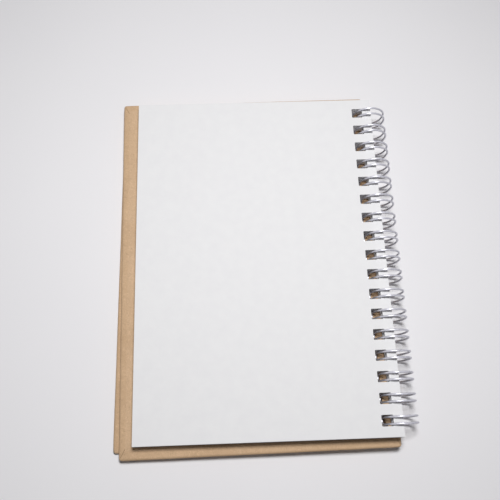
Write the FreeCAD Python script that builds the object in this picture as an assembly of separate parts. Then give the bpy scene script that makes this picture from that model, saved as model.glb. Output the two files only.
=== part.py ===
import FreeCAD, Part
import math
import os

# Spiral notebook folded right back: leaves on top, back cover under them, front cover lowest.
# Millimetres. X runs toward the wire, Y up the page, Z up from the table.
# Every piece is drawn flat around the axis of the wire loops, then turned about that axis
# to lie as it does on the table, and moved so the origin is the centre of the footprint.

Vector = FreeCAD.Vector
os.makedirs("parts", exist_ok=True)

# Wire binding
loop_count = 17
loop_pitch = 25.4 / 3
loop_radius = 7.1
wire_diameter = 0.85
wire_sides = 6
twin_spacing = 2.7
base_bend_radius = 0.85
seam_tip_distance = 1.5
stub_length = 1.2
leg_runs = 18
base_runs = 3
tip_runs = 6

# Leaves
leaf_width = 105.4
leaf_head_margin = 6.92
leaf_tail_margin = 6.37
block_thickness = 5.05
block_spine_x = -0.05
leaf_hole_width = 4.7
leaf_hole_height = 4.4
leaf_hole_margin = 3.8

# Covers, each a little askew on its loops
cover_width = 111.1
cover_head_margin = 11.4
cover_tail_margin = 10.2
cover_hole_width = 4.8
cover_hole_height = 4.4
back_hole_x = -3.54
back_hole_margin = 2.4
back_skew_deg = 0.67
front_hole_x = -3.72
front_hole_margin = 1.37
front_skew_deg = -0.41
front_end_trim = 0.8
wrap_thickness = 0.15
lining_thickness = 0.12
board_thickness = 1.58
turn_in_width = 14.0
lining_inset_fore = 2.6
lining_inset_ends = 3.4
lining_inset_spine = 0.7
mitre_gap = 0.14
mitre_angle_deg = 61.0
cover_corner_radius = 1.2
cover_corner_runs = 4
cover_edge_bevel = 0.5

# Heights around the wire axis, with the covers level
front_cover_low = -5.17
cover_gap = 0.1
seam_gap = 0.1
block_low = 0.05

# Lie on the table
cover_tilt_deg = 1.2
block_extra_tilt_deg = 0.5

# Origin of the part, seen from the wire axis
origin_x = -53.22
origin_y = 0.02

wire_radius = wire_diameter / 2
cover_thickness = wrap_thickness * 2 + board_thickness + lining_thickness
back_cover_low = front_cover_low + cover_thickness + cover_gap
back_cover_high = back_cover_low + cover_thickness
seam_height = back_cover_high + seam_gap + wire_radius
axis_height = loop_radius + wire_radius
row_half = (loop_count - 1) / 2 * loop_pitch
wire_axis = Vector(0, 1, 0)
centre = Vector(0, 0, 0)
through = 20.0


def box(x_low, x_high, y_low, y_high, z_low, z_high):
    return Part.makeBox(x_high - x_low, y_high - y_low, z_high - z_low, Vector(x_low, y_low, z_low))


def loop_y(index):
    return ((loop_count - 1) / 2 - index) * loop_pitch


def hole_row(right_x, width, height):
    cutters = []
    for index in range(loop_count):
        y = loop_y(index)
        cutters.append(box(right_x - width, right_x, y - height / 2, y + height / 2, -through, through))
    return Part.makeCompound(cutters)


def outline(x_low, x_high, y_low, y_high, z, corner):
    # Points round a rectangle at one height, its corners in short straight runs
    points = []
    for x, y, start in ((x_high - corner, y_high - corner, 0), (x_low + corner, y_high - corner, 1),
                        (x_low + corner, y_low + corner, 2), (x_high - corner, y_low + corner, 3)):
        for step in range(cover_corner_runs + 1):
            angle = math.pi / 2 * (start + step / cover_corner_runs)
            points.append(Vector(x + corner * math.cos(angle), y + corner * math.sin(angle), z))
    return points


def bevelled_plate(x_low, x_high, y_low, y_high, z_low, z_high, corner, bevel):
    # The edges of both flat sides are cut back by the bevel
    rings = []
    for z, inset in ((z_low, bevel), (z_low + bevel, 0), (z_high - bevel, 0), (z_high, bevel)):
        rings.append(outline(x_low + inset, x_high - inset, y_low + inset, y_high - inset, z,
                             corner - inset))
    faces = [Part.Face(Part.makePolygon(ring + [ring[0]])) for ring in (rings[0], rings[-1])]
    for lower, upper in zip(rings, rings[1:]):
        for index in range(len(lower)):
            after = (index + 1) % len(lower)
            faces.append(Part.Face(Part.makePolygon(
                [lower[index], lower[after], upper[after], upper[index], lower[index]])))
    skin = Part.makeCompound(faces)
    skin.sewShape()
    return Part.makeSolid(skin.Shells[0])


def mitre_cutter(corner_x, corner_y, to_x, to_y, z_low, z_high):
    # A thin upright wedge of air from outside the corner to past the end of the turn-ins
    angle = math.radians(mitre_angle_deg)
    reach = turn_in_width / math.sin(angle) + wrap_thickness
    run = Vector(to_x * math.cos(angle), to_y * math.sin(angle), 0)
    side = Vector(-run.y, run.x, 0) * (mitre_gap / 2)
    start = Vector(corner_x, corner_y, z_low) + run * lining_thickness
    points = [start + side, start - side, start - side + run * reach, start + side + run * reach]
    face = Part.Face(Part.makePolygon(points + [points[0]]))
    return face.extrude(Vector(0, 0, z_high - z_low))


def make_cover(hole_x, hole_margin, end_trim, low, inner_up, skew_deg):
    # Board, kraft wrap with turned-in mitred edges, and lining, drawn with the inner face up
    spine_x = hole_x + hole_margin
    fore_x = spine_x - cover_width
    tail_y = -row_half - cover_tail_margin + end_trim
    head_y = row_half + cover_head_margin - end_trim
    wrap_high = low + 2 * wrap_thickness + board_thickness
    skin = wrap_thickness
    outer = bevelled_plate(fore_x, spine_x, tail_y, head_y, low, wrap_high, cover_corner_radius,
                           cover_edge_bevel)
    board_bevel = cover_edge_bevel - skin * (2 - math.sqrt(2))
    board = bevelled_plate(fore_x + skin, spine_x - skin, tail_y + skin, head_y - skin, low + skin,
                           wrap_high - skin, cover_corner_radius - skin, board_bevel)
    window = box(fore_x + turn_in_width, spine_x - turn_in_width, tail_y + turn_in_width,
                 head_y - turn_in_width, wrap_high - skin, wrap_high)
    mitres = []
    for corner_x, to_x in ((fore_x, 1), (spine_x, -1)):
        for corner_y, to_y in ((tail_y, 1), (head_y, -1)):
            mitres.append(mitre_cutter(corner_x, corner_y, to_x, to_y, wrap_high - skin, wrap_high))
    holes = hole_row(hole_x, cover_hole_width, cover_hole_height)
    wrap = outer.cut(board).cut(window).cut(Part.makeCompound(mitres)).cut(holes)
    board = board.cut(holes)
    sheet = box(fore_x + lining_inset_fore, spine_x - lining_inset_spine,
                tail_y + lining_inset_ends, head_y - lining_inset_ends, wrap_high,
                wrap_high + lining_thickness)
    lining = sheet.fuse(window).removeSplitter().cut(holes)
    pieces = []
    for piece in (wrap, board, lining):
        if not inner_up:
            middle = low + cover_thickness / 2
            piece = piece.mirror(Vector(0, 0, middle), Vector(0, 0, 1))
        turned = piece.copy()
        turned.rotate(Vector(-loop_radius, 0, 0), Vector(0, 0, 1), skew_deg)
        pieces.append(turned)
    return pieces


def make_block():
    fore_x = block_spine_x - leaf_width
    block = box(fore_x, block_spine_x, -row_half - leaf_tail_margin, row_half + leaf_head_margin,
                block_low, block_low + block_thickness)
    return block.cut(hole_row(block_spine_x - leaf_hole_margin, leaf_hole_width, leaf_hole_height))


def arc_points(middle, first, second, radius, sweep, runs):
    # Points after the first on an arc that starts toward first and heads toward second
    points = []
    for step in range(1, runs + 1):
        angle = sweep * step / runs
        points.append(middle + first * (radius * math.cos(angle)) + second * (radius * math.sin(angle)))
    return points


def wire_line():
    # Legs start one bend radius past the seam and run round the loop to the closed tip
    leg_start = math.pi - math.asin((seam_height + base_bend_radius) / loop_radius)
    seam_angle = leg_start + base_bend_radius / loop_radius
    tip_angle = seam_angle + seam_tip_distance / loop_radius - 2 * math.pi
    leg_sweep = leg_start - tip_angle
    out_start = Vector(math.cos(leg_start), 0, math.sin(leg_start))
    along_start = Vector(-math.sin(leg_start), 0, math.cos(leg_start))
    out_tip = Vector(math.cos(tip_angle), 0, math.sin(tip_angle))
    along_tip = Vector(-math.sin(tip_angle), 0, math.cos(tip_angle))
    seam_point = out_start * loop_radius + along_start * base_bend_radius
    half_twin = twin_spacing / 2
    half_base = half_twin + base_bend_radius
    down = wire_axis * -1
    points = [seam_point + wire_axis * (loop_y(0) + half_base + stub_length)]
    for index in range(loop_count):
        y = loop_y(index)
        high = out_start * loop_radius + wire_axis * (y + half_base)
        low = out_start * loop_radius + wire_axis * (y - half_base)
        points.append(high + along_start * base_bend_radius)
        points += arc_points(high, along_start, down, base_bend_radius, math.pi / 2, base_runs)
        points += arc_points(wire_axis * (y + half_twin), out_start, along_start * -1, loop_radius,
                             leg_sweep, leg_runs)
        points += arc_points(out_tip * loop_radius + wire_axis * y, wire_axis, along_tip * -1,
                             half_twin, math.pi, tip_runs)
        points += arc_points(wire_axis * (y - half_twin), out_tip, along_tip, loop_radius,
                             leg_sweep, leg_runs)
        points += arc_points(low, wire_axis, along_start, base_bend_radius, math.pi / 2, base_runs)
    points.append(points[-1] + down * stub_length)
    return points


def mitred_wire(points):
    # The section goes along each run to the plane that halves the turn to the next run
    corner_radius = wire_radius * math.sqrt(
        2 * math.pi / (wire_sides * math.sin(2 * math.pi / wire_sides)))
    runs = [(after - before).normalize() for before, after in zip(points, points[1:])]
    across = Vector(1, 0, 0)
    up = runs[0].cross(across)
    ring = []
    for side in range(wire_sides):
        angle = 2 * math.pi * (side + 0.5) / wire_sides
        ring.append(points[0] + across * (corner_radius * math.cos(angle))
                    + up * (corner_radius * math.sin(angle)))
    faces = [Part.Face(Part.makePolygon(ring + [ring[0]]))]
    for index, run in enumerate(runs):
        joint = points[index + 1]
        halving = run + runs[min(index + 1, len(runs) - 1)]
        moved = [corner + run * (halving.dot(joint - corner) / halving.dot(run)) for corner in ring]
        for side in range(wire_sides):
            after = (side + 1) % wire_sides
            faces.append(Part.Face(Part.makePolygon(
                [ring[side], ring[after], moved[after], moved[side], ring[side]])))
        ring = moved
    faces.append(Part.Face(Part.makePolygon(ring + [ring[0]])))
    skin = Part.makeCompound(faces)
    skin.sewShape()
    return Part.makeSolid(skin.Shells[0])


def lay(shape, tilt_deg):
    placed = shape.copy()
    placed.rotate(centre, wire_axis, -tilt_deg)
    placed.translate(Vector(-origin_x, -origin_y, axis_height))
    return placed


nodes = {}

nodes["binding_wire"] = lay(mitred_wire(wire_line()), cover_tilt_deg)
nodes["page_block"] = lay(make_block(), cover_tilt_deg + block_extra_tilt_deg)

back_pieces = make_cover(back_hole_x, back_hole_margin, 0, back_cover_low, True, back_skew_deg)
front_pieces = make_cover(front_hole_x, front_hole_margin, front_end_trim, front_cover_low, False,
                          front_skew_deg)
for cover, pieces in (("back_cover_", back_pieces), ("front_cover_", front_pieces)):
    for name, piece in zip(("wrap", "board", "lining"), pieces):
        nodes[cover + name] = lay(piece, cover_tilt_deg)

whole = None
for name, shape in nodes.items():
    shape.exportStep("parts/" + name + ".step")
    bounds = shape.BoundBox
    print(name, "valid", shape.isValid(), "solids", len(shape.Solids), "faces", len(shape.Faces),
          "volume", round(shape.Volume, 1), "x", round(bounds.XMin, 3), round(bounds.XMax, 3),
          "y", round(bounds.YMin, 3), round(bounds.YMax, 3),
          "z", round(bounds.ZMin, 3), round(bounds.ZMax, 3))
    if whole is None:
        whole = bounds
    else:
        whole.add(bounds)
print("whole x", round(whole.XMin, 3), round(whole.XMax, 3), "y", round(whole.YMin, 3),
      round(whole.YMax, 3), "z", round(whole.ZMin, 3), round(whole.ZMax, 3))
print("wire axis at x", round(-origin_x, 4), "y", round(-origin_y, 4), "z", round(axis_height, 4))
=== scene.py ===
import math
import random

import bpy
from mathutils import Matrix, Vector, noise
from mathutils.geometry import tessellate_polygon


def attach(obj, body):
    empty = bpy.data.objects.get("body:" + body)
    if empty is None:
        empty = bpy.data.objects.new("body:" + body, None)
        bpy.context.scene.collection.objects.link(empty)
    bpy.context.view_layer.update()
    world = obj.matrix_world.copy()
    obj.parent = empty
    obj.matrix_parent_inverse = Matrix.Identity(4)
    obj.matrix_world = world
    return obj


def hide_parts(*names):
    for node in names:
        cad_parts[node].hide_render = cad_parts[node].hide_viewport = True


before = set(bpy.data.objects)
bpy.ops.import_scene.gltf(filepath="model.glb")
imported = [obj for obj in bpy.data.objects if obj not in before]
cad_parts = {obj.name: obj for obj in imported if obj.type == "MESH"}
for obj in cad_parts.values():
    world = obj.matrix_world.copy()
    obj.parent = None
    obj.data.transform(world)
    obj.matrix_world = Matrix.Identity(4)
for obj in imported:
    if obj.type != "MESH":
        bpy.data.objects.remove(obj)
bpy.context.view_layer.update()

MM = 0.001
scene = bpy.context.scene
scene.view_settings.view_transform = "Standard"

# Wire binding, with the values of the construction model in millimetres
LOOP_COUNT = 17
LOOP_PITCH = 25.4 / 3
LOOP_RADIUS = 7.1
WIRE_RADIUS = 0.425
TWIN_SPACING = 2.7
BASE_BEND = 0.85
TIP_DISTANCE = 1.5
STUB_LENGTH = 1.2
LEG_STEPS = 48
BEND_STEPS = 6
TIP_STEPS = 14
WIRE_SIDES = 12
LOOP_SQUEEZE = 0.6
SQUEEZE_TOWARD = math.radians(-8)
SQUEEZE_SHARPNESS = 6
LOOP_GATHER = 0.005
SEAM_HEIGHT = -0.505
AXIS = (53.22, -0.02, 7.525)
COVER_TILT = math.radians(1.2)

# Leaves
LEAF_WIDTH = 105.4
LEAF_ABOVE = 74.65
LEAF_BELOW = 74.1
LEAF_SPINE_X = -0.05
LEAF_HOLE_WIDTH = 4.7
LEAF_HOLE_HEIGHT = 4.4
LEAF_HOLE_MARGIN = 3.8
BLOCK_LOW = 0.05
BLOCK_THICKNESS = 5.05
BLOCK_TILT = math.radians(1.7)
LEAF_COUNT = 48
LEAF_SEED = 17
LEAF_FILL = 0.93
LEAF_IN = 0.10
LEAF_OUT = 0.03
LEAF_SPINE_IN = 0.06
LEAF_HOLE_CORNER = 0.35
HOLE_CORNER_STEPS = 2

# Covers
COVER_WIDTH = 111.1
HEAD_MARGIN = 11.4
TAIL_MARGIN = 10.2
HOLE_WIDTH = 4.8
HOLE_HEIGHT = 4.4
HOLE_CORNER = 0.2
COVER_CORNER = 1.2
BACK_HOLE_X = -3.54
BACK_HOLE_MARGIN = 2.4
BACK_SKEW_DEG = 0.67
BACK_PAST_SPINE = 0.2
FRONT_HOLE_X = -3.72
FRONT_HOLE_MARGIN = 1.37
FRONT_SKEW_DEG = -0.41
FRONT_TRIM = 0.8
BOARD_THICKNESS = 1.58
PAPER = 0.15
LINING = 0.12
MITRE_SLOPE = math.tan(math.radians(61))
# Width of the thin strip of painted shade along each mitre
MITRE_SHADE_WIDTH = 0.3
FRONT_LOW = -5.17
COVER_GAP = 0.1
WRAP_HIGH = 2 * PAPER + BOARD_THICKNESS
BACK_LOW = FRONT_LOW + WRAP_HIGH + LINING + COVER_GAP
CORNER_STEPS = 6
NOSE_STEPS = 10
NOSE_DEPTH = 0.98
EDGE_STEP = 2.2
EDGE_WEAR = 0.04
SLOW_WAVE = (0.11, 0.05)
QUICK_WAVE = (0.5, 0.03)
KNOCK_REACH = 3.0
KNOCK_DEPTH = 0.10
KNOCK_SPREAD = 0.05
FLAP_COLUMNS = ((0.9, 0.005), (1.5, 0.07), (2.1, 0.085), (6.0, 0.085))
FLAP_ROOT = 0.02
# Columns of the thin mitre strip that carries the painted shade of the crease
MITRE_SHADE_COLUMNS = ((0.75, 0.004), (1.6, 0.09), (4.0, 0.09))


def laid(point, tilt):
    # From the level drawing round the wire axis to the lie on the table, in metres
    x, y, z = point
    c, s = math.cos(tilt), math.sin(tilt)
    return Vector(((x * c - z * s + AXIS[0]) * MM, (y + AXIS[1]) * MM, (x * s + z * c + AXIS[2]) * MM))


def loop_y(index):
    return ((LOOP_COUNT - 1) / 2 - index) * LOOP_PITCH


def new_object(name, vertices, faces, smooth=False):
    mesh = bpy.data.meshes.new(name)
    mesh.from_pydata(vertices, [], faces)
    mesh.validate()
    mesh.update()
    if smooth:
        for polygon in mesh.polygons:
            polygon.use_smooth = True
    piece = bpy.data.objects.new(name, mesh)
    scene.collection.objects.link(piece)
    return piece


def give(piece, material):
    piece.data.materials.clear()
    piece.data.materials.append(material)


# Node materials

class Nodes:
    def __init__(self, name):
        self.material = bpy.data.materials.new(name)
        self.material.use_nodes = True
        self.tree = self.material.node_tree
        self.shader = next(n for n in self.tree.nodes if n.type == "BSDF_PRINCIPLED")
        self.place = self.tree.nodes.new("ShaderNodeTexCoord").outputs["Object"]

    def link(self, source, target):
        self.tree.links.new(source, target)

    def mapped(self, scale, turn=0.0):
        # Turned first and stretched after, so that streaks follow the turn
        turned = self.tree.nodes.new("ShaderNodeMapping")
        turned.inputs["Rotation"].default_value = (0, 0, turn)
        self.link(self.place, turned.inputs["Vector"])
        node = self.tree.nodes.new("ShaderNodeMapping")
        node.inputs["Scale"].default_value = scale
        self.link(turned.outputs["Vector"], node.inputs["Vector"])
        return node.outputs["Vector"]

    def noise(self, scale, detail=3.0, stretch=(1, 1, 1), turn=0.0, distortion=0.0):
        node = self.tree.nodes.new("ShaderNodeTexNoise")
        node.inputs["Scale"].default_value = scale
        node.inputs["Detail"].default_value = detail
        node.inputs["Distortion"].default_value = distortion
        self.link(self.mapped(stretch, turn), node.inputs["Vector"])
        return node.outputs["Fac"]

    def ramp(self, value, low, high, dark=0.0, light=1.0):
        node = self.tree.nodes.new("ShaderNodeMapRange")
        self.link(value, node.inputs["Value"])
        node.inputs["From Min"].default_value = low
        node.inputs["From Max"].default_value = high
        node.inputs["To Min"].default_value = dark
        node.inputs["To Max"].default_value = light
        return node.outputs["Result"]

    def math(self, kind, first, second):
        node = self.tree.nodes.new("ShaderNodeMath")
        node.operation = kind
        for socket, value in zip(node.inputs, (first, second)):
            if isinstance(value, (int, float)):
                socket.default_value = value
            else:
                self.link(value, socket)
        return node.outputs["Value"]

    def mix(self, factor, first, second, blend="MIX"):
        node = self.tree.nodes.new("ShaderNodeMix")
        node.data_type = "RGBA"
        node.blend_type = blend
        for socket, value in ((node.inputs[0], factor), (node.inputs[6], first), (node.inputs[7], second)):
            if isinstance(value, tuple):
                socket.default_value = (*value, 1.0)
            elif isinstance(value, (int, float)):
                socket.default_value = value
            else:
                self.link(value, socket)
        return node.outputs[2]

    def bump(self, height, strength, distance):
        node = self.tree.nodes.new("ShaderNodeBump")
        node.inputs["Strength"].default_value = strength
        node.inputs["Distance"].default_value = distance
        self.link(height, node.inputs["Height"])
        self.link(node.outputs["Normal"], self.shader.inputs["Normal"])


def kraft_material(name, light, dark):
    # Brown paper: cloudy pulp, short fibres in four directions and a few dark flecks
    nodes = Nodes(name)
    cloud = nodes.ramp(nodes.noise(55, 5), 0.3, 0.7)
    base = nodes.mix(cloud, dark, light)
    height = nodes.noise(3000, 3)
    for turn, fineness in ((0.25, 2300), (1.1, 2600), (1.9, 2100), (2.7, 2450)):
        fibre = nodes.noise(fineness, 2, (1.0, 0.17, 1.0), turn, 0.4)
        pale = nodes.ramp(fibre, 0.60, 0.72, 0.0, 0.34)
        deep = nodes.ramp(fibre, 0.40, 0.28, 0.0, 0.28)
        base = nodes.mix(pale, base, tuple(min(1.0, c * 1.25) for c in light))
        base = nodes.mix(deep, base, tuple(c * 0.68 for c in dark))
        height = nodes.math("ADD", height, fibre)
    fleck = nodes.ramp(nodes.noise(1100, 1), 0.75, 0.81, 0.0, 0.5)
    base = nodes.mix(fleck, base, tuple(c * 0.45 for c in dark))
    nodes.link(base, nodes.shader.inputs["Base Color"])
    rough = nodes.ramp(nodes.noise(300, 3), 0.3, 0.7, 0.70, 0.88)
    nodes.link(rough, nodes.shader.inputs["Roughness"])
    nodes.shader.inputs["Specular IOR Level"].default_value = 0.25
    nodes.bump(height, 0.3, 0.00010)
    return nodes.material


def board_material():
    # Grey recycled board, seen only inside the punched holes
    nodes = Nodes("grey_board")
    speck = nodes.ramp(nodes.noise(1500, 4), 0.35, 0.65)
    layer = nodes.ramp(nodes.noise(900, 2, (0.05, 0.05, 4.0)), 0.3, 0.7)
    base = nodes.mix(speck, (0.33, 0.29, 0.23), (0.47, 0.42, 0.34))
    base = nodes.mix(nodes.math("MULTIPLY", layer, 0.35), base, (0.24, 0.21, 0.17))
    nodes.link(base, nodes.shader.inputs["Base Color"])
    nodes.shader.inputs["Roughness"].default_value = 0.92
    nodes.bump(speck, 0.5, 0.00015)
    return nodes.material


def paper_material():
    # Uncoated white paper with a faint cloudy formation
    nodes = Nodes("leaf_paper")
    cloud = nodes.ramp(nodes.noise(260, 4), 0.3, 0.7)
    base = nodes.mix(cloud, (0.738, 0.737, 0.752), (0.758, 0.758, 0.769))
    nodes.link(base, nodes.shader.inputs["Base Color"])
    nodes.link(nodes.ramp(nodes.noise(900, 3), 0.3, 0.7, 0.72, 0.86), nodes.shader.inputs["Roughness"])
    nodes.shader.inputs["Specular IOR Level"].default_value = 0.25
    nodes.bump(nodes.noise(2400, 4), 0.18, 0.00006)
    return nodes.material


def wire_material():
    # Silver coated steel wire with fine marks along it
    nodes = Nodes("silver_wire")
    nodes.shader.inputs["Metallic"].default_value = 0.72
    mark = nodes.noise(1800, 3)
    base = nodes.mix(nodes.ramp(mark, 0.3, 0.7), (0.50, 0.50, 0.55), (0.66, 0.66, 0.71))
    nodes.link(base, nodes.shader.inputs["Base Color"])
    nodes.link(nodes.ramp(nodes.noise(700, 3), 0.3, 0.7, 0.27, 0.41), nodes.shader.inputs["Roughness"])
    nodes.bump(mark, 0.12, 0.00003)
    return nodes.material


def floor_material():
    nodes = Nodes("table")
    cloud = nodes.ramp(nodes.noise(9, 2), 0.3, 0.7)
    base = nodes.mix(cloud, (0.790, 0.784, 0.808), (0.806, 0.800, 0.822))
    nodes.link(base, nodes.shader.inputs["Base Color"])
    nodes.shader.inputs["Roughness"].default_value = 0.75
    nodes.shader.inputs["Specular IOR Level"].default_value = 0.2
    return nodes.material


# Round wire along the same path as the solid

def arc(centre, first, second, radius, degrees, steps):
    # Points after the first on a circle that starts toward first and heads toward second
    points = []
    for step in range(1, steps + 1):
        angle = math.radians(degrees) * step / steps
        points.append(centre + first * (radius * math.cos(angle)) + second * (radius * math.sin(angle)))
    return points


def wire_path():
    leg_start = math.pi - math.asin((SEAM_HEIGHT + BASE_BEND) / LOOP_RADIUS)
    seam_angle = leg_start + BASE_BEND / LOOP_RADIUS
    tip_angle = seam_angle + TIP_DISTANCE / LOOP_RADIUS - 2 * math.pi
    sweep = math.degrees(leg_start - tip_angle)
    out_start = Vector((math.cos(leg_start), 0, math.sin(leg_start)))
    along_start = Vector((-math.sin(leg_start), 0, math.cos(leg_start)))
    out_tip = Vector((math.cos(tip_angle), 0, math.sin(tip_angle)))
    along_tip = Vector((-math.sin(tip_angle), 0, math.cos(tip_angle)))
    up_page = Vector((0, 1, 0))
    half_twin = TWIN_SPACING / 2
    half_base = half_twin + BASE_BEND
    seam = out_start * LOOP_RADIUS + along_start * BASE_BEND
    points = [seam + up_page * (loop_y(0) + half_base + STUB_LENGTH),
              seam + up_page * (loop_y(0) + half_base)]
    for index in range(LOOP_COUNT):
        y = loop_y(index)
        high = out_start * LOOP_RADIUS + up_page * (y + half_base)
        points += arc(high, along_start, -up_page, BASE_BEND, 90, BEND_STEPS)
        points += arc(up_page * (y + half_twin), out_start, -along_start, LOOP_RADIUS, sweep, LEG_STEPS)
        tip = out_tip * LOOP_RADIUS + up_page * y
        points += arc(tip, up_page, -along_tip, half_twin, 180, TIP_STEPS)
        points += arc(up_page * (y - half_twin), out_tip, along_tip, LOOP_RADIUS, sweep, LEG_STEPS)
        low = out_start * LOOP_RADIUS + up_page * (y - half_base)
        points += arc(low, up_page, along_start, BASE_BEND, 90, BEND_STEPS)
        if index < LOOP_COUNT - 1:
            points.append(seam + up_page * (loop_y(index + 1) + half_base))
        else:
            points.append(seam + up_page * (y - half_base - STUB_LENGTH))
    return points


def squeezed(point):
    # The loops are a little flat on the side away from the leaves, and gathered toward the middle
    outward = max(0.0, math.cos(math.atan2(point.z, point.x) - SQUEEZE_TOWARD))
    factor = 1 - LOOP_SQUEEZE / LOOP_RADIUS * outward ** SQUEEZE_SHARPNESS
    return Vector((point.x * factor, point.y * (1 - LOOP_GATHER * outward), point.z * factor))


def make_wire():
    points = [squeezed(point) for point in wire_path()]
    vertices, faces = [], []
    side = Vector((1, 0, 0))
    last = len(points) - 1
    for index, point in enumerate(points):
        heading = (points[min(index + 1, last)] - points[max(index - 1, 0)]).normalized()
        side = (side - heading * side.dot(heading)).normalized()
        up = heading.cross(side)
        for corner in range(WIRE_SIDES):
            angle = 2 * math.pi * corner / WIRE_SIDES
            offset = side * math.cos(angle) + up * math.sin(angle)
            vertices.append(laid(point + offset * WIRE_RADIUS, COVER_TILT))
    for index in range(last):
        for corner in range(WIRE_SIDES):
            a = index * WIRE_SIDES + corner
            b = index * WIRE_SIDES + (corner + 1) % WIRE_SIDES
            faces.append((a, b, b + WIRE_SIDES, a + WIRE_SIDES))
    faces.append(tuple(reversed(range(WIRE_SIDES))))
    faces.append(tuple(last * WIRE_SIDES + corner for corner in range(WIRE_SIDES)))
    return new_object("round_wire", vertices, faces, smooth=True)


# Punched leaves

def rounded_hole(middle_x, middle_y, width, height, radius):
    points = []
    steps = HOLE_CORNER_STEPS
    half_x, half_y = width / 2 - radius, height / 2 - radius
    for corner in range(4):
        sign_x, sign_y = ((1, 1), (-1, 1), (-1, -1), (1, -1))[corner]
        for step in range(steps + 1):
            angle = math.pi / 2 * (corner + step / steps)
            points.append((middle_x + sign_x * half_x + radius * math.cos(angle),
                           middle_y + sign_y * half_y + radius * math.sin(angle)))
    return points


def leaf_outline(rng):
    # Outer edge and holes of one leaf, with the small differences of a cut and punched stack
    spine = LEAF_SPINE_X + rng.uniform(-LEAF_SPINE_IN, LEAF_OUT)
    fore = LEAF_SPINE_X - LEAF_WIDTH + rng.uniform(-LEAF_OUT, LEAF_IN)
    tail = -LEAF_BELOW + rng.uniform(-LEAF_OUT, LEAF_IN)
    head = LEAF_ABOVE + rng.uniform(-LEAF_IN, LEAF_OUT)
    outer = [(spine, tail), (spine, head), (fore, head), (fore, tail)]
    holes = []
    middle_x = LEAF_SPINE_X - LEAF_HOLE_MARGIN - LEAF_HOLE_WIDTH / 2
    shift_x, shift_y = rng.uniform(-LEAF_OUT, LEAF_OUT), rng.uniform(-LEAF_OUT, LEAF_OUT)
    for index in range(LOOP_COUNT):
        holes.append(rounded_hole(middle_x + shift_x, loop_y(index) + shift_y,
                                  LEAF_HOLE_WIDTH, LEAF_HOLE_HEIGHT, LEAF_HOLE_CORNER))
    return outer, holes


def make_leaves():
    rng = random.Random(LEAF_SEED)
    vertices, faces = [], []
    pitch = BLOCK_THICKNESS / LEAF_COUNT
    thickness = pitch * LEAF_FILL
    for leaf in range(LEAF_COUNT):
        outer, holes = leaf_outline(rng)
        low = BLOCK_LOW + leaf * pitch
        loops = [outer] + holes
        flat = [Vector((x, y, 0)) for loop in loops for x, y in loop]
        triangles = tessellate_polygon([[Vector((x, y, 0)) for x, y in loop] for loop in loops])
        start = len(vertices)
        count = len(flat)
        for z in (low, low + thickness):
            vertices += [laid((p.x, p.y, z), BLOCK_TILT) for p in flat]
        for a, b, c in triangles:
            turn = (flat[b] - flat[a]).cross(flat[c] - flat[a]).z
            if turn < 0:
                a, c = c, a
            faces.append((start + count + a, start + count + b, start + count + c))
            faces.append((start + c, start + b, start + a))
        first = start
        for number, loop in enumerate(loops):
            size = len(loop)
            for index in range(size):
                a, b = first + index, first + (index + 1) % size
                faces.append((a, b, b + count, a + count) if number == 0
                             else (b, a, a + count, b + count))
            first += size
    return new_object("leaf_stack", vertices, faces)


# Kraft wraps with a rounded nose, slightly uneven along the edges

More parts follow.
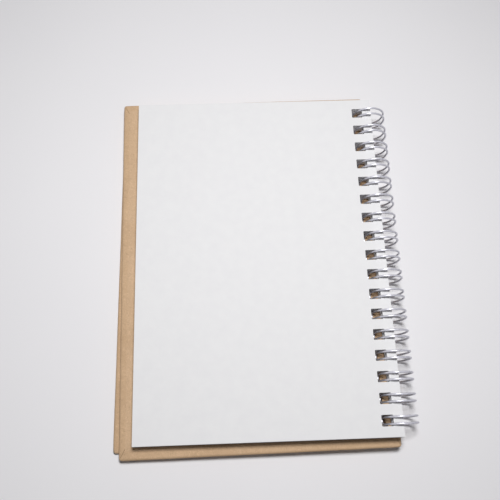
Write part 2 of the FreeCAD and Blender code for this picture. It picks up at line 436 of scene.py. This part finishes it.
class Cover:
    def __init__(self, name, hole_x, margin, trim, low, inner_up, skew, past_spine):
        self.name, self.hole_x, self.low, self.inner_up = name, hole_x, low, inner_up
        self.skew = math.radians(skew)
        self.spine = hole_x + margin
        self.fore = self.spine - COVER_WIDTH
        self.spine += past_spine
        self.head = loop_y(0) + HEAD_MARGIN - trim
        self.tail = -loop_y(0) - TAIL_MARGIN + trim
        self.vertices, self.faces, self.smooth, self.mitre_shade_faces = [], [], [], []

    def place(self, x, y, z):
        # z counts from the outer face; the front cover lies with its inner face down
        if not self.inner_up:
            z = WRAP_HIGH + LINING - z
        c, s = math.cos(self.skew), math.sin(self.skew)
        from_pivot = x + LOOP_RADIUS
        turned_x = from_pivot * c - y * s - LOOP_RADIUS
        turned_y = from_pivot * s + y * c
        return laid((turned_x, turned_y, self.low + z), COVER_TILT)

    def add(self, points, faces, smooth):
        start = len(self.vertices)
        self.vertices += [self.place(*point) for point in points]
        for face in faces:
            face = [start + corner for corner in face]
            self.faces.append(face if self.inner_up else face[::-1])
            self.smooth.append(smooth)

    def outline(self):
        # (x, y, inward x, inward y) round the edge, close together for the small waves
        points = []
        corners = ((self.spine, self.head, 0), (self.fore, self.head, 1),
                   (self.fore, self.tail, 2), (self.spine, self.tail, 3))
        for number, (x, y, quarter) in enumerate(corners):
            middle_x = x + COVER_CORNER * (-1 if quarter in (0, 3) else 1)
            middle_y = y + COVER_CORNER * (-1 if quarter in (0, 1) else 1)
            for step in range(CORNER_STEPS + 1):
                angle = math.pi / 2 * (quarter + step / CORNER_STEPS)
                out_x, out_y = math.cos(angle), math.sin(angle)
                points.append((middle_x + COVER_CORNER * out_x, middle_y + COVER_CORNER * out_y,
                               -out_x, -out_y))
            next_x, next_y, after = corners[(number + 1) % 4]
            last = points[-1]
            goal_x = next_x + COVER_CORNER * ((-1 if after in (0, 3) else 1) if quarter in (0, 2) else 0)
            goal_y = next_y + COVER_CORNER * ((-1 if after in (0, 1) else 1) if quarter in (1, 3) else 0)
            count = max(1, int(math.hypot(goal_x - last[0], goal_y - last[1]) / EDGE_STEP))
            for step in range(1, count):
                share = step / count
                points.append((last[0] + (goal_x - last[0]) * share,
                               last[1] + (goal_y - last[1]) * share, last[2], last[3]))
        return points

    def wear(self, x, y):
        # Inward wander of the edge in millimetres: slow waves, and soft knocks at the corners
        wave = 0.0
        for (pace, depth), start in ((SLOW_WAVE, self.low), (QUICK_WAVE, 7.0 + self.low)):
            wave += depth * noise.noise(Vector((x * pace, y * pace, start)))
        away = min(math.hypot(x - cx, y - cy) for cx in (self.fore, self.spine)
                   for cy in (self.head, self.tail))
        unevenness = noise.noise(Vector((x, y, KNOCK_REACH)))
        knock = max(0.0, 1 - away / KNOCK_REACH) * (KNOCK_DEPTH + KNOCK_SPREAD * unevenness)
        return EDGE_WEAR + wave + knock

    def build(self):
        edge = self.outline()
        nose = WRAP_HIGH / 2
        rings = []
        count = len(edge)
        points = []
        for step in range(NOSE_STEPS + 1):
            angle = math.pi * (step / NOSE_STEPS - 0.5)
            ring = []
            for x, y, in_x, in_y in edge:
                inset = nose * NOSE_DEPTH * (1 - math.cos(angle)) + self.wear(x, y)
                ring.append((x + in_x * inset, y + in_y * inset, nose + nose * math.sin(angle)))
            rings.append(ring)
            points += ring
        faces = []
        for step in range(NOSE_STEPS):
            for index in range(count):
                a, b = step * count + index, step * count + (index + 1) % count
                faces.append((a, b, b + count, a + count))
        self.add(points, faces, True)
        for ring, z, up, depth in ((rings[0], 0.0, False, PAPER), (rings[-1], WRAP_HIGH, True, -PAPER)):
            self.skin([(x, y) for x, y, _ in ring], z, up, depth)
        self.flap(self.fore, 1)
        self.flap(self.spine, -1)
        piece = new_object(self.name, self.vertices, self.faces)
        for polygon, smooth in zip(piece.data.polygons, self.smooth):
            polygon.use_smooth = smooth
        return piece

    def skin(self, outer, z, up, depth):
        loops = [outer]
        for index in range(LOOP_COUNT):
            loops.append(rounded_hole(self.hole_x - HOLE_WIDTH / 2, loop_y(index), HOLE_WIDTH,
                                      HOLE_HEIGHT, HOLE_CORNER))
        flat = [Vector((x, y, 0)) for loop in loops for x, y in loop]
        faces = []
        for a, b, c in tessellate_polygon([[Vector((x, y, 0)) for x, y in loop] for loop in loops]):
            turn = (flat[b] - flat[a]).cross(flat[c] - flat[a]).z
            faces.append((a, b, c) if (turn > 0) == up else (c, b, a))
        self.add([(p.x, p.y, z) for p in flat], faces, False)
        for loop in loops[1:]:
            size = len(loop)
            wall = [(x, y, z) for x, y in loop] + [(x, y, z + depth) for x, y in loop]
            sides = []
            for index in range(size):
                a, b = index, (index + 1) % size
                sides.append((a, b, b + size, a + size) if up else (b, a, a + size, b + size))
            self.add(wall, sides, False)

    def flap(self, edge_x, inward):
        # Turned-in paper of a long side, its ends cut to the mitre, and a thin strip of painted shade
        # along each mitre line
        points, faces = [], []
        for inset, rise in FLAP_COLUMNS:
            x = edge_x + inward * inset
            reach = inset * MITRE_SLOPE
            points.append((x, self.tail + reach, WRAP_HIGH + rise))
            points.append((x, self.head - reach, WRAP_HIGH + rise))
        for inset, rise in FLAP_COLUMNS:
            x = edge_x + inward * inset
            reach = inset * MITRE_SLOPE
            points.append((x, self.tail + reach, WRAP_HIGH - FLAP_ROOT))
            points.append((x, self.head - reach, WRAP_HIGH - FLAP_ROOT))
        total = len(FLAP_COLUMNS)
        for column in range(total - 1):
            a = column * 2
            top = (a, a + 2, a + 3, a + 1)
            low, high = (a, a + 2, a + 2 + total * 2, a + total * 2), (a + 1, a + 3, a + 3 + total * 2,
                                                                      a + 1 + total * 2)
            for face in ((top, low[::-1], high) if inward > 0 else (top[::-1], low, high[::-1])):
                faces.append(face)
        self.add(points, faces, False)
        # Thin strip along each mitre, given the dark painted shade of the fine crease there
        for corner_y, to_y in ((self.tail, 1), (self.head, -1)):
            strip = []
            for inset, rise in MITRE_SHADE_COLUMNS:
                x = edge_x + inward * inset
                y = corner_y + to_y * inset * MITRE_SLOPE
                strip += [(x, y, WRAP_HIGH + rise), (x, y - to_y * MITRE_SHADE_WIDTH, WRAP_HIGH + rise)]
            sides = [(0, 1, 3, 2), (2, 3, 5, 4)]
            upward = inward * to_y < 0
            first = len(self.faces)
            self.add(strip, sides if upward else [side[::-1] for side in sides], False)
            self.mitre_shade_faces += range(first, len(self.faces))


wire = make_wire()
give(wire, wire_material())
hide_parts("binding_wire")
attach(wire, "back_cover")

leaves = make_leaves()
give(leaves, paper_material())
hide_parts("page_block")
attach(leaves, "leaves")

wrap_paper = kraft_material("kraft_wrap", (0.578, 0.402, 0.252), (0.502, 0.342, 0.208))
lining_paper = kraft_material("kraft_lining", (0.590, 0.416, 0.268), (0.520, 0.358, 0.222))
# Dark kraft colour is painted shade for the fine crease along each mitre, not a colour of the paper
mitre_shade_paper = kraft_material("kraft_painted_mitre_shade", (0.235, 0.150, 0.085), (0.180, 0.112, 0.062))
grey_board = board_material()
covers = (Cover("back_kraft", BACK_HOLE_X, BACK_HOLE_MARGIN, 0.0, BACK_LOW, True,
                BACK_SKEW_DEG, BACK_PAST_SPINE),
          Cover("front_kraft", FRONT_HOLE_X, FRONT_HOLE_MARGIN, FRONT_TRIM, FRONT_LOW, False,
                FRONT_SKEW_DEG, 0.0))
for cover, body in zip(covers, ("back_cover", "front_cover")):
    kraft = cover.build()
    give(kraft, wrap_paper)
    kraft.data.materials.append(mitre_shade_paper)
    # Faces of the mitre strips take the dark painted shade
    for seam in cover.mitre_shade_faces:
        kraft.data.polygons[seam].material_index = 1
    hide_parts(body + "_wrap")
    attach(kraft, body)
    give(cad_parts[body + "_wrap"], wrap_paper)
    give(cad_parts[body + "_lining"], lining_paper)
    give(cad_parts[body + "_board"], grey_board)

# Table
FLOOR_HALF = 2.5
floor = new_object("table_top", [(x * FLOOR_HALF, y * FLOOR_HALF, 0.0)
                                 for x, y in ((-1, -1), (1, -1), (1, 1), (-1, 1))], [(0, 1, 2, 3)])
give(floor, floor_material())

# World: soft grey light on the object, pale background where it is seen or mirrored
SOFT_STRENGTH = 0.11
SOFT_COLOR = (1.0, 0.99, 1.0, 1.0)
PALE_COLOR = (0.80, 0.79, 0.82, 1.0)
world = bpy.data.worlds.new("studio")
scene.world = world
world.use_nodes = True
tree = world.node_tree
tree.nodes.clear()
path = tree.nodes.new("ShaderNodeLightPath")
seen = tree.nodes.new("ShaderNodeMath")
seen.operation = "MAXIMUM"
tree.links.new(path.outputs["Is Camera Ray"], seen.inputs[0])
tree.links.new(path.outputs["Is Glossy Ray"], seen.inputs[1])
seen_all = tree.nodes.new("ShaderNodeMath")
seen_all.operation = "MAXIMUM"
tree.links.new(seen.outputs[0], seen_all.inputs[0])
tree.links.new(path.outputs["Is Transmission Ray"], seen_all.inputs[1])
soft = tree.nodes.new("ShaderNodeBackground")
soft.inputs["Color"].default_value = SOFT_COLOR
soft.inputs["Strength"].default_value = SOFT_STRENGTH
pale = tree.nodes.new("ShaderNodeBackground")
pale.inputs["Color"].default_value = PALE_COLOR
pale.inputs["Strength"].default_value = 1.0
mixer = tree.nodes.new("ShaderNodeMixShader")
tree.links.new(seen_all.outputs[0], mixer.inputs[0])
tree.links.new(soft.outputs[0], mixer.inputs[1])
tree.links.new(pale.outputs[0], mixer.inputs[2])
world_output = tree.nodes.new("ShaderNodeOutputWorld")
tree.links.new(mixer.outputs[0], world_output.inputs["Surface"])


def lamp(name, place, aim, size, power, color):
    data = bpy.data.lights.new(name, "AREA")
    data.shape = "DISK"
    data.size = size
    data.energy = power
    data.color = color
    light = bpy.data.objects.new(name, data)
    light.location = place
    light.rotation_euler = (Vector(aim) - Vector(place)).to_track_quat("-Z", "Y").to_euler()
    scene.collection.objects.link(light)


KEY_PLACE = (0.004, 0.04, 0.39)
KEY_AIM = (0.0, 0.0, 0.0)
KEY_SIZE = 0.11
KEY_POWER = 1.46
KEY_COLOR = (1.0, 0.995, 0.99)
lamp("key_lamp", KEY_PLACE, KEY_AIM, KEY_SIZE, KEY_POWER, KEY_COLOR)

# Camera, fitted to the photograph
camera_place = Vector((-18.529, -78.403, 263.124)) * MM
forward = Vector((0.05385, 0.30909, -0.94951))
right = Vector((0.99834, -0.03603, 0.04489))
up = Vector((0.02034, 0.95035, 0.31052))
camera_data = bpy.data.cameras.new("photo_camera")
camera_data.sensor_width = 36.0
camera_data.sensor_fit = "HORIZONTAL"
camera_data.lens = 45.273
camera_data.clip_start = 0.005
camera_data.clip_end = 20.0
camera = bpy.data.objects.new("photo_camera", camera_data)
columns = Matrix((right, up, -forward)).transposed()
camera.matrix_world = Matrix.Translation(camera_place) @ columns.to_4x4()
scene.collection.objects.link(camera)
scene.camera = camera
